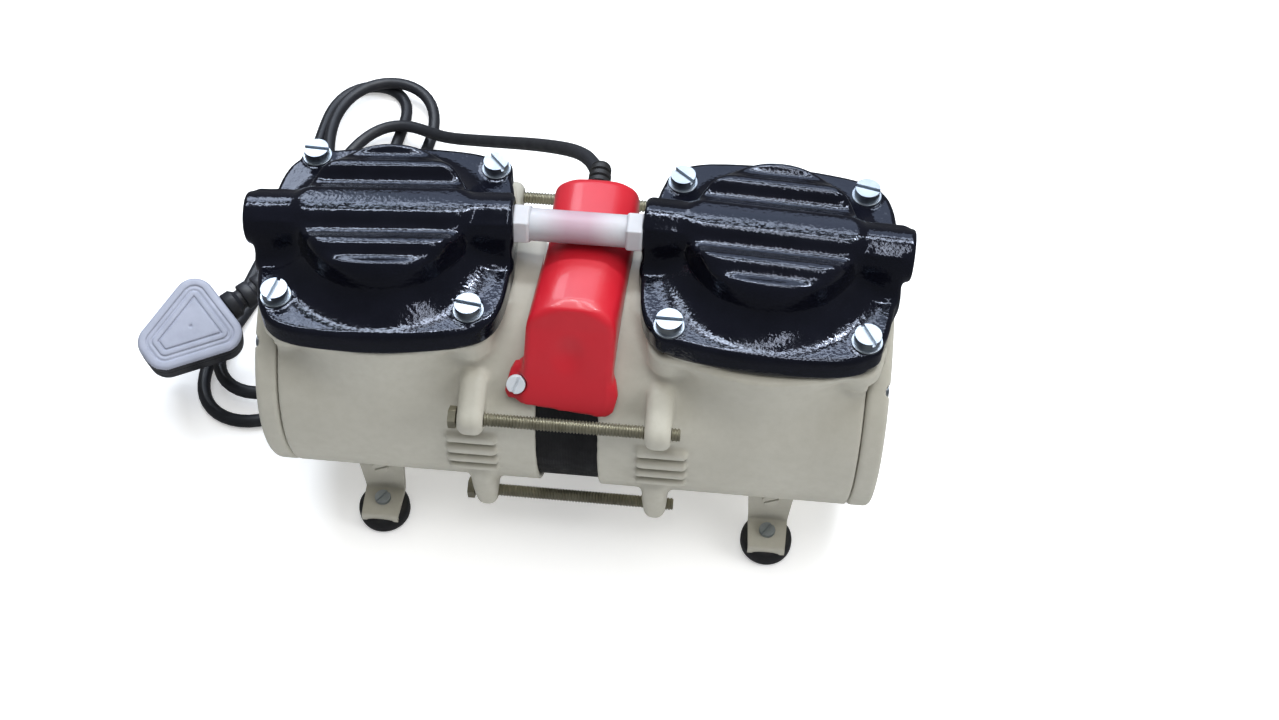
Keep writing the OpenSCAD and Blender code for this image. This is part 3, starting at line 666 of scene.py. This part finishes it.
# ---------------------------------------------------------------- housings
def housing_field(ax):
    X, Y, Z = grid(ax)
    x = X - HX
    r = np.hypot(Y, Z - ZC)
    body = meet(r - R + 0 * X, slab(X, 12, HALF + 6), 0.6)
    hr = np.hypot(x, Y)
    neck = np.maximum(smax(hr - 50.0 + 0 * Z, Z - DECK + 0.5, 0.6), ZC - Z)
    neck = np.maximum(neck, 14 - X)
    f = smin(body, neck, 6.0)
    flange = meet(outline(x, Y, -2.4), slab(Z, DECK - 6.0, DECK - 0.15), 0.8)
    f = smin(f, flange, 7.0)
    for i in (-1, 1):
        for j in (-1, 1):
            rr = np.hypot(x - i * SP, Y - j * SP)
            cone = smax(rr - 6.9 + np.clip((121 - Z) * 0.7, 0, 40), slab(Z, 100, DECK - 0.15), 1.0)
            f = smin(f, cone, 4.5)
    f = smax(f, np.minimum(np.minimum(Z - DECK + 3.4, outline(x, Y, -2.6)) + 0 * r, r - R - 0.5), 0.5)
    for m in (-1, 1):
        y = Y * m
        up = capsule2(y, Z, (-math.cos(ROD_UP) * ROD_C, ZC + math.sin(ROD_UP) * ROD_C), (-math.cos(math.radians(34.5)) * 54.6, ZC + math.sin(math.radians(34.5)) * 54.6), 6.4, 6.6)
        dn = capsule2(y, Z, (-math.cos(ROD_DN) * ROD_C, ZC - math.sin(ROD_DN) * ROD_C), (-math.cos(math.radians(22)) * 53.0, ZC - math.sin(math.radians(22)) * 53.0), 6.3, 6.6)
        f = smin(f, meet(up + 0.012 * (X - 35.5) ** 2, slab(X, 30.4, 40.8), 3.4), 2.2)
        f = smin(f, meet(dn + 0.02 * (X - 34.8) ** 2, slab(X, 29.6 + np.clip(45 - Z, 0, 16) * 0.06, 40.0 - np.clip(45 - Z, 0, 16) * 0.06), 3.6), 2.6)
        # raised bars with air slots between them
        for i in range(4):
            z0 = ZC - 10.2 + i * 6.5
            bar = meet(meet(r - 57.9 + 0 * X, slab(Z, z0 - 1.9, z0 + 1.9), 1.0), slab(X, 27, 47), 1.2)
            bar = np.maximum(bar, y + 20)
            f = smin(f, bar, 1.2)
        for i in range(3):
            z0 = ZC - 6.95 + i * 6.5
            cut = np.maximum(np.maximum(slab(Z, z0 - 1.15, z0 + 1.15) + 0 * r, slab(X, 28.2, 46.0)), np.maximum(50.0 - r, y + 20))
            f = smax(f, -cut, 0.3)
        pad = np.maximum(np.maximum(slab(X, 74, 92), slab(y, -34, -22)), slab(Z, 22.5, 40)) + 0 * r
        f = smin(f, pad, 2.0)
        f = np.maximum(f, -np.maximum(np.maximum(slab(X, 73.5, 92.5), slab(y, -44, -32)), slab(Z, 0, 33.1)))
        for a, x0, x1 in ((ROD_UP, 30, 42), (-ROD_DN, 29, 41)):
            hole = np.hypot(y + math.cos(a) * ROD_C, Z - ZC - math.sin(a) * ROD_C) - 2.7
            f = np.maximum(f, -np.maximum(hole + 0 * X, slab(X, x0, x1)))
    # nothing stands past the end, except the corners over the end cover
    over = np.minimum(X - HALF, np.maximum(np.maximum(28.2 - np.abs(Y), DECK - 10.6 - Z), 0 * X + 0))
    f = np.maximum(f, np.minimum(X - HALF + 0 * r, np.maximum(28.2 - np.abs(Y), DECK - 10.6 - Z) + 0 * X))
    f = np.maximum(f, -np.maximum(r - R - 0.1, HALF - X))
    # inside
    def bore(radius, x0, x1):
        return np.maximum(r - radius + 0 * X, slab(X, x0, x1))
    for c in (bore(53, 0, 17), bore(49, 16, 39), bore(16, 38, 50), bore(10, 49, 53), bore(50, 51, 130)):
        f = np.maximum(f, -c)
    f = np.maximum(f, -np.maximum(hr - 31, ZC - Z))
    f = np.maximum(f, -np.maximum(hr - 36.5, 127 - Z))
    for i in (-1, 1):
        for j in (-1, 1):
            f = np.maximum(f, -np.maximum(np.hypot(x - i * SP, Y - j * SP) - 3.0, 123 - Z))
    return f


def housings():
    ax = axes((12, -66, 20), (124, 66, DECK), 0.95)
    f = housing_field(ax).astype(np.float32)
    for s, name in ((1, "right"), (-1, "left")):
        o = sdf_object(name + "_housing_piece", f, ax, s < 0, name + "_housing", BODY)
        paint(o, "cream_paint")


def end_covers():
    ax = axes((109, -56, 22), (122, 56, 134), 0.8)
    X, Y, Z = grid(ax)
    r = np.hypot(Y, Z - ZC)
    f = meet(r - R + 0 * X, slab(X, HALF + 0.25, END_X), 1.9)
    f = np.minimum(f, np.maximum(np.maximum(r - 49.9, 45 - r) + 0 * X, slab(X, HALF - 2.4, HALF + 1)))
    f = smax(f, -np.maximum(r - 40 + 0 * X, END_X - 2.5 - X), 1.2)
    for a in (45, 135, 225, 315):
        c = np.hypot(Y - math.cos(math.radians(a)) * 52.6, Z - ZC - math.sin(math.radians(a)) * 52.6)
        f = np.maximum(f, -np.maximum(c - 2.6 + 0 * X, HALF + 6.5 - X))
    for s, name in ((1, "right"), (-1, "left")):
        o = sdf_object(name + "_end_cover_piece", f, ax, s < 0, name + "_end_cover", BODY)
        paint(o, "cream_paint")


# ---------------------------------------------------------------- red terminal cover
def terminal_cover():
    ax = axes((-25, -60, 98), (21, 36, 147), 0.62)
    X, Y, Z = grid(ax)
    r = np.hypot(Y, Z - ZC)
    # the cover sits a little askew between the castings
    XS = X - 0.075 * (np.minimum(Y, 2) + 44)

    def shell(g):
        side = polygon2(Y, Z, [(34 - g, 100), (34 - g, 142.5 - g), (31.5, 145 - g), (-28.5, 145.4 - g), (-32.6, 143.6 - g), (-36.4 + g * 1.5, 135.5),
                               (-46 + g * 1.5, 117.5), (-54.8 + g, 101), (-54 + g, 92), (0, 92)])
        arch = smax(np.hypot(XS, Z - (122 - g)) - 23.0, slab(XS, -17 + g, 17 - g) + 0 * Z, 3.0)
        return smax(side + 0 * XS, arch + 0 * Y, 2.6 if g == 0 else 2.2)
    outer = shell(0)
    # hollowed front face under an arched lip
    ny0, nz0 = -0.878, 0.478
    depth = (Y + 41.2) * ny0 + (Z - 126.5) * nz0
    lens = np.hypot(np.hypot(XS / 1.05, ((Y + 41.2) * nz0 - (Z - 126.5) * ny0) / 1.25), (depth - 22.0) * 0.62) - 13.9
    outer = smax(outer, -lens, 1.6)
    outer = np.maximum(outer, 105.0 + 0.09 * (17.3 - X) - Z)
    # curved front flange with two ears
    band = slab(r, R + 0.1, R + 2.7) + 0 * X
    ears = polygon2(X, Z, [(-22.0, 116.2), (-20.4, 118.4), (-14.0, 119.6), (-13.0, 121.5), (14.0, 119.5), (15.4, 115.6), (18.2, 114.6), (19.4, 111.2), (17.9, 105.6),
                           (16.2, 104.6), (-22.2, 108.0), (-23.6, 110.0)]) + 0 * Y
    ears = np.maximum(smax(ears + 0.9, -50.0 - 0 * ears, 1.0) - 0.9, Y + 30)
    flange = meet(band, ears, 0.9)
    f = smin(outer, flange, 3.2)
    f = smax(f, -shell(2.0), 0.6)
    f = smax(f, -(r - R - 0.08 + 0 * X), 0.4)
    a = math.radians(37.4)
    # distance from the screw's own line
    ny, nz = -math.cos(a), math.sin(a)
    along = Y * ny + (Z - ZC) * nz
    off = np.hypot(X + 19.2, np.hypot(Y - along * ny, Z - ZC - along * nz))
    f = np.maximum(f, -(off - 2.3))
    f = smax(f, -np.maximum(off - 4.2, R + 2.6 - along), 0.4)
    hole = np.hypot(X - 3, Z - 133.5 + 1.3) - 4.7
    f = np.maximum(f, -np.maximum(hole + 0 * Y, 30 - Y))
    o = sdf_object("terminal_cover_piece", f.astype(np.float32), ax, False, "terminal_cover", BODY)
    o.visible_glossy = False
    paint(o, "red_pvc")


# ---------------------------------------------------------------- plug
PLUG = (-173.2, 16.1, 51.0)
PLUG_A = math.radians(46.4)
PLUG_LEAN = math.radians(23)
PLUG_TOP = 48.0


def in_plug(v):
    c, sn = math.cos(PLUG_A), math.sin(PLUG_A)
    q = np.array(v, dtype=float)
    u = np.stack([q[:, 0] * c - q[:, 1] * sn, q[:, 0] * sn + q[:, 1] * c, q[:, 2] - PLUG_TOP], 1)
    k = np.array([0.8746, 0.4848, 0.0])
    k = k / np.linalg.norm(k)
    cl, sl = math.cos(PLUG_LEAN), math.sin(PLUG_LEAN)
    u = u * cl + np.cross(k, u) * sl + np.outer(u @ k, k) * (1 - cl)
    return u + np.array(PLUG)


def plug():
    ax = axes((-28, -22, 27), (18, 22, 49), 0.42)
    X, Y, Z = grid(ax)
    core = [(6.7, -10.3), (6.7, 10.3), (-17, 2.5), (-17, -2.5)]
    face = polygon2(X, Y, core) + 0 * Z
    f = meet(face - 9.3 + 0.05 * np.clip(44 - Z, 0, 20), slab(Z, 28, PLUG_TOP), 2.2)
    f = smax(f, face - 9.3 + np.clip(32.5 - Z, 0, 6) * 0.7, 1.5)
    # a fine seam round the side and outlines stepped into the face
    f = smax(f, -np.maximum(np.abs(Z - 42.2) - 0.3, 8.7 - face), 0.2)
    for d0, w in ((0.0, 0.34), (2.9, 0.42), (4.9, 0.42)):
        f = smax(f, -np.maximum(np.abs(face - d0) - w, PLUG_TOP - 0.6 - Z), 0.25)
    f = smax(f, -np.maximum(np.maximum(face - 4.5, 3.3 - face), PLUG_TOP - 0.25 - Z), 0.3)
    f = smax(f, -(np.hypot(np.hypot(X + 2.1, Y), Z - PLUG_TOP - 0.1) - 0.8), 0.2)
    f = np.maximum(f, -np.maximum(np.hypot(Y, Z - 39) - 4 + 0 * X, 6 - X))
    f = np.maximum(f, -np.maximum(np.hypot(X + 16.1, Y) - 3.53 + 0 * Z, Z - 36))
    for m in (-1, 1):
        f = np.maximum(f, -np.maximum(np.hypot(X - 6.1, Y - m * 9.525) - 2.54 + 0 * Z, Z - 36))
    verts, quads = net(f.astype(np.float32), ax)
    o = mesh_object("plug_body_piece", in_plug(verts), quads)
    place(o, "plug_body", BODY)
    paint(o, "plug_plastic")
    o.data.materials.append(MATS["boot_plastic"])
    # the face gets the light grey-blue painted sheen, the sides the black plastic
    loc = verts[np.array([list(q)[0] for q in quads])]
    edge = np.array([PLUG_TOP - 1.25 > v[2] for v in loc])
    if len(edge) == len(o.data.polygons):
        o.data.polygons.foreach_set("material_index", edge.astype(np.int32))
    # ribbed strain relief
    prof = [(3.0, 0), (4.0, 0), (4.0, 10.2), (6.3, 10.2), (6.6, 10.8), (6.5, 14.4), (5.9, 15.0)]
    for i in range(4):
        a0 = 16.4 + i * 7.2
        r = 6.2 - i * 0.42
        prof += [(4.6 - i * 0.16, a0), (4.6 - i * 0.16, a0 + 1.7), (r - 0.3, a0 + 2.0), (r, a0 + 2.5), (r - 0.15, a0 + 6.4), (r - 0.5, a0 + 6.9)]
    prof += [(3.9, 46.0), (3.5, 46.3), (3.0, 46.3)]
    o = lathe("plug_boot_piece", prof, 64, "x")
    me = o.data
    co = np.zeros(len(me.vertices) * 3, np.float32)
    me.vertices.foreach_get("co", co)
    p = co.reshape(-1, 3) / MM
    p[:, 0] += 6
    p[:, 2] += 39
    me.vertices.foreach_set("co", (in_plug(p) * MM).astype(np.float32).ravel())
    me.update()
    place(o, "plug_boot", BODY)
    smooth_by_angle(o, 42)
    paint(o, "boot_plastic")


# ---------------------------------------------------------------- tube between the heads
def crossover():
    x1 = HX - 48.5
    prof = [(3.0, -x1 - 9), (4.6, -x1 - 9), (4.95, -x1 - 8.5), (4.95, -x1 - 0.02), (6.0, -x1 - 0.02), (6.2, -x1 + 0.3),
            (6.2, x1 - 0.3), (6.0, x1 + 0.02), (4.95, x1 + 0.02), (4.95, x1 + 8.5), (4.6, x1 + 9), (3.0, x1 + 9)]
    o = lathe("crossover_tube_piece", prof, 64, "x", (0, 0, PORT_Z))
    smooth_by_angle(o, 40)
    place(o, "crossover_tube", BODY)
    paint(o, "white_nylon")
    for s, name in ((1, "right"), (-1, "left")):
        h0, h1 = x1 - 6.4, x1 - 0.1
        verts, faces = [], []
        prof = [(5.9, h0), (7.3, h0), (8.1, h0 + 0.7), (8.1, h1 - 0.4), (7.6, h1), (5.9, h1)]
        seg = 6
        for r, h in prof:
            for i in range(seg):
                a = math.radians(60 * i + 12)
                verts.append((h * s, r * math.cos(a), PORT_Z + r * math.sin(a)))
        quads = []
        for k in range(len(prof)):
            for i in range(seg):
                j = (i + 1) % seg
                a, b = k * seg, ((k + 1) % len(prof)) * seg
                q = (a + i, a + j, b + j, b + i)
                quads.append(q if s > 0 else q[::-1])
        hx = mesh_object(name + "_tube_hexagon", np.array(verts), quads, smooth=False)
        b = hx.modifiers.new("bevel", "BEVEL")
        b.width, b.segments, b.limit_method, b.angle_limit = 0.35 * MM, 3, "ANGLE", math.radians(25)
        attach(hx, BODY)
        paint(hx, "white_nylon")


# ---------------------------------------------------------------- threaded rods and nuts
def threaded(name, x0, x1, y, z, r=2.7, pitch=1.25, depth=0.65, phase=0.0):
    per, seg = 8, 20
    n = int((x1 - x0) / pitch * per)
    xs = np.linspace(x0, x1, n)
    th = np.arange(seg) * 2 * math.pi / seg
    XX, TT = np.meshgrid(xs, th, indexing="ij")
    w = (XX / pitch - TT / (2 * math.pi) + phase) % 1.0
    rr = r - depth * np.abs(2 * w - 1) ** 1.0
    fade = np.clip(np.minimum(XX - x0, x1 - XX) / 0.6, 0, 1)
    rr = np.minimum(rr, r - depth * (1 - fade))
    V = np.stack([XX, y + rr * np.cos(TT), z + rr * np.sin(TT)], 2).reshape(-1, 3)
    i, j = np.meshgrid(np.arange(n - 1), np.arange(seg), indexing="ij")
    a = i * seg + j
    b = i * seg + (j + 1) % seg
    quads = np.stack([a, b, b + seg, a + seg], 2).reshape(-1, 4)[:, ::-1]
    c0, c1 = len(V), len(V) + 1
    V = np.vstack([V, [[x0, y, z], [x1, y, z]]])
    tris = [(c0, k, (k + 1) % seg) for k in range(seg)] + [(c1, (n - 1) * seg + (k + 1) % seg, (n - 1) * seg + k) for k in range(seg)]
    tris = [t[::-1] for t in tris]
    return V, quads, np.array(tris)


def tie_rods():
    V, Q, T = [], [], []
    base = 0
    for k, (a, x0, x1) in enumerate(((ROD_UP, -44, 44), (-ROD_DN, -43, 42.5))):
        for m in (-1, 1):
            v, q, t = threaded("rod", x0, x1, m * math.cos(a) * ROD_C, ZC + math.sin(a) * ROD_C, phase=0.3 * k)
            V.append(v), Q.append(q + base), T.append(t + base)
            base += len(v)
    o = mesh_object("tie_rods_piece", np.vstack(V), [np.vstack(Q), np.vstack(T)])
    place(o, "tie_rods", BODY)
    paint(o, "yellow_zinc")


# ---------------------------------------------------------------- legs and feet
def legs():
    V, Q = [], []
    base = 0
    th, rb = 3.0, 4.0
    # side profile of the strap in (y, z), outer line then inner line, with a bend
    def arc(cy, cz, r, a0, a1, n=6):
        return [(cy + r * math.cos(math.radians(a0 + (a1 - a0) * i / n)), cz + r * math.sin(math.radians(a0 + (a1 - a0) * i / n))) for i in range(n + 1)]
    outer = [(-35, 33)] + arc(-35 - 1.0, 12 + 1.0, 1.0, 0, -90) + [(-48.8, 12)] + arc(-48.6, 10.8, 1.2, 90, 180, 4) + [(-49.8, 7.8)]
    inner = [(-32, 33)] + arc(-32 - rb, 9 + rb, rb, 0, -90) + [(-47.8, 9.6)] + arc(-48.0, 9.2, 0.5, 90, 180, 4)[1:] + [(-48.5, 7.8)]
    prof = outer + inner[::-1]
    for i in (-1, 1):
        for j in (-1, 1):
            cx = i * 83.0
            n = len(prof)
            for xx in (-9.3, 9.3):
                for (y, z) in prof:
                    V.append((cx + xx * ((0.90 if y > -46 else 0.84) + 0.14 * min(max((z - 12) / 20, 0), 1)), y * j, z))
            quads = []
            for k in range(n):
                l = (k + 1) % n
                q = (base + k, base + l, base + n + l, base + n + k)
                quads.append(q)
            half = n // 2
            for k in range(half - 1):
                quads.append((base + k, base + n - 1 - k, base + n - 2 - k, base + k + 1))
                quads.append(tuple(n + w for w in (base + k + 1, base + n - 2 - k, base + n - 1 - k, base + k)))
            if j < 0:
                quads = [q[::-1] for q in quads]
            Q += quads
            base += 2 * n
    o = mesh_object("leg_brackets_piece", np.array(V), np.array(Q))
    import bmesh
    bm = bmesh.new()
    bm.from_mesh(o.data)
    bmesh.ops.recalc_face_normals(bm, faces=bm.faces)
    bm.to_mesh(o.data)
    bm.free()
    b = o.modifiers.new("bevel", "BEVEL")
    b.width, b.segments, b.limit_method, b.angle_limit = 0.7 * MM, 3, "ANGLE", math.radians(40)
    w = o.modifiers.new("normals", "WEIGHTED_NORMAL")
    place(o, "leg_brackets", BODY)
    paint(o, "cream_paint")
    parts = []
    prof = [(0, 0), (7.2, 0.0), (8.6, 0.25), (9.9, 0.9), (10.7, 2.0), (11.0, 3.4), (11.0, 6.2), (10.8, 7.6), (10.2, 8.7), (9.3, 9.3), (8.2, 9.5), (2.0, 9.5), (2.0, 2.0), (0, 2.0)]
    for i in (-1, 1):
        for j in (-1, 1):
            parts.append(lathe("foot", prof, 64, "z", (i * 83.0, j * 41.0, 0)))
    o = join(parts, "rubber_feet_piece")
    smooth_by_angle(o, 50)
    place(o, "rubber_feet", BODY)
    paint(o, "black_rubber")


def join(objs, name):
    V, polys = [], []
    base = 0
    for o in objs:
        me = o.data
        co = np.zeros(len(me.vertices) * 3, np.float32)
        me.vertices.foreach_get("co", co)
        V.append(co.reshape(-1, 3))
        for p in me.polygons:
            polys.append([base + i for i in p.vertices])
        base += len(me.vertices)
        bpy.data.objects.remove(o)
    me = bpy.data.meshes.new(name)
    me.from_pydata(np.vstack(V).tolist(), [], polys)
    me.update()
    for p in me.polygons:
        p.use_smooth = True
    return link(bpy.data.objects.new(name, me))


heads()
housings()
end_covers()
terminal_cover()
plug()
crossover()
tie_rods()
legs()

paint(bevelled("head_screws", 0.45, 3), "bright_zinc")
paint(bevelled("head_washers", 0.2, 2), "bright_zinc")
paint(bevelled("tie_rod_nuts", 0.3, 2), "yellow_zinc")
paint(bevelled("terminal_cover_screw", 0.3, 2), "satin_zinc")
paint(bevelled("leg_screws", 0.3, 2), "cream_paint")
paint(bevelled("foot_screws", 0.25, 2), "bright_zinc")
paint(bevelled("end_cover_screws", 0.2, 2), "bright_zinc")

# carried-over nodes
for names, mat in (
    (("stator_core",), "laminations"), (("stator_windings",), "copper_wire"), (("rotor",), "rotor_steel"),
    (("motor_shaft", "bearing_outer_races", "bearing_inner_races", "bearing_balls", "left_intake_reed", "left_exhaust_reed", "right_intake_reed", "right_exhaust_reed"), "steel"),
    (("cooling_fans",), "black_plastic"), (("left_eccentric", "right_eccentric", "eccentric_set_screws"), "sintered_iron"),
    (("left_rod_bush", "right_rod_bush"), "bronze"),
    (("left_connecting_rod", "right_connecting_rod", "left_clamp_disc", "right_clamp_disc", "left_valve_plate", "right_valve_plate"), "aluminium"),
    (("left_clamp_screw", "right_clamp_screw", "reed_screws"), "bright_zinc"), (("left_diaphragm", "right_diaphragm"), "black_rubber"),
    (("head_gaskets",), "gasket"), (("terminal_block",), "terminal_plastic"), (("terminal_screws", "plug_pins"), "brass"),
):
    for n in names:
        paint(N[n], mat)

# ---------------------------------------------------------------- studio
floor_me = bpy.data.meshes.new("floor")
floor_me.from_pydata([(-4, -4, 0), (4, -4, 0), (4, 4, 0), (-4, 4, 0)], [], [(0, 1, 2, 3)])
floor = link(bpy.data.objects.new("floor", floor_me))
fm = bpy.data.materials.new("floor")
fm.use_nodes = True
fm.node_tree.nodes["Principled BSDF"].inputs["Base Color"].default_value = (0.92, 0.92, 0.92, 1)
fm.node_tree.nodes["Principled BSDF"].inputs["Roughness"].default_value = 0.9
fm.node_tree.nodes["Principled BSDF"].inputs["Emission Color"].default_value = (1, 1, 1, 1)
fm.node_tree.nodes["Principled BSDF"].inputs["Emission Strength"].default_value = 0.35
fm.node_tree.nodes["Principled BSDF"].inputs["Specular IOR Level"].default_value = 0.1
floor_me.materials.append(fm)
floor.visible_glossy = False


def area(name, loc, target, size, power, color=(1, 1, 1), size_y=None):
    l = bpy.data.lights.new(name, "AREA")
    l.energy, l.color, l.size = power, color, size
    if size_y:
        l.shape, l.size_y = "RECTANGLE", size_y
    o = link(bpy.data.objects.new(name, l))
    o.location = loc
    o.rotation_mode = "QUATERNION"
    o.rotation_quaternion = (Vector(target) - Vector(loc)).to_track_quat("-Z", "Y")
    return o


# a narrow strip and a softbox behind for the highlights, broad soft light for everything else
area("strip", (0.0, 0.36, 1.30), (0.0, 0, 0.08), 1.6, 9.5, (0.88, 0.94, 1.0), 0.12)
area("lamp", (0.50, 0.33, 1.25), (0.0, 0, 0.08), 0.08, 1.6, (0.95, 0.97, 1.0))
area("strip_2", (0.1, 0.05, 1.45), (0.0, 0, 0.08), 1.3, 4.2, (0.93, 0.96, 1.0), 0.09)
area("back", (-0.2, 1.3, 1.38), (0.0, 0, 0.1), 1.7, 6.5, (0.66, 0.78, 1.0), 0.75)
area("window", (0.02, 0.80, 1.40), (0.0, 0, 0.1), 1.2, 5.0, (0.82, 0.90, 1.0), 0.15)
area("window_left", (-0.62, 0.95, 1.10), (0.0, 0, 0.1), 0.4, 3.0, (0.86, 0.92, 1.0), 0.4)
soft = area("top", (0.12, -0.30, 1.7), (0, -0.05, 0.0), 1.5, 12.6, (1.0, 0.99, 0.965), 0.9)
soft.visible_glossy = False
side_light = area("right", (1.5, -0.35, 1.0), (0, 0, 0.08), 0.8, 10.0, (1.0, 1.0, 1.0))
side_light.visible_glossy = False
world = bpy.data.worlds.new("world")
bpy.context.scene.world = world
world.use_nodes = True
world.node_tree.nodes["Background"].inputs["Color"].default_value = (0.92, 0.95, 1.0, 1)
world.node_tree.nodes["Background"].inputs["Strength"].default_value = 0.16
bpy.context.scene.view_settings.view_transform = "Standard"
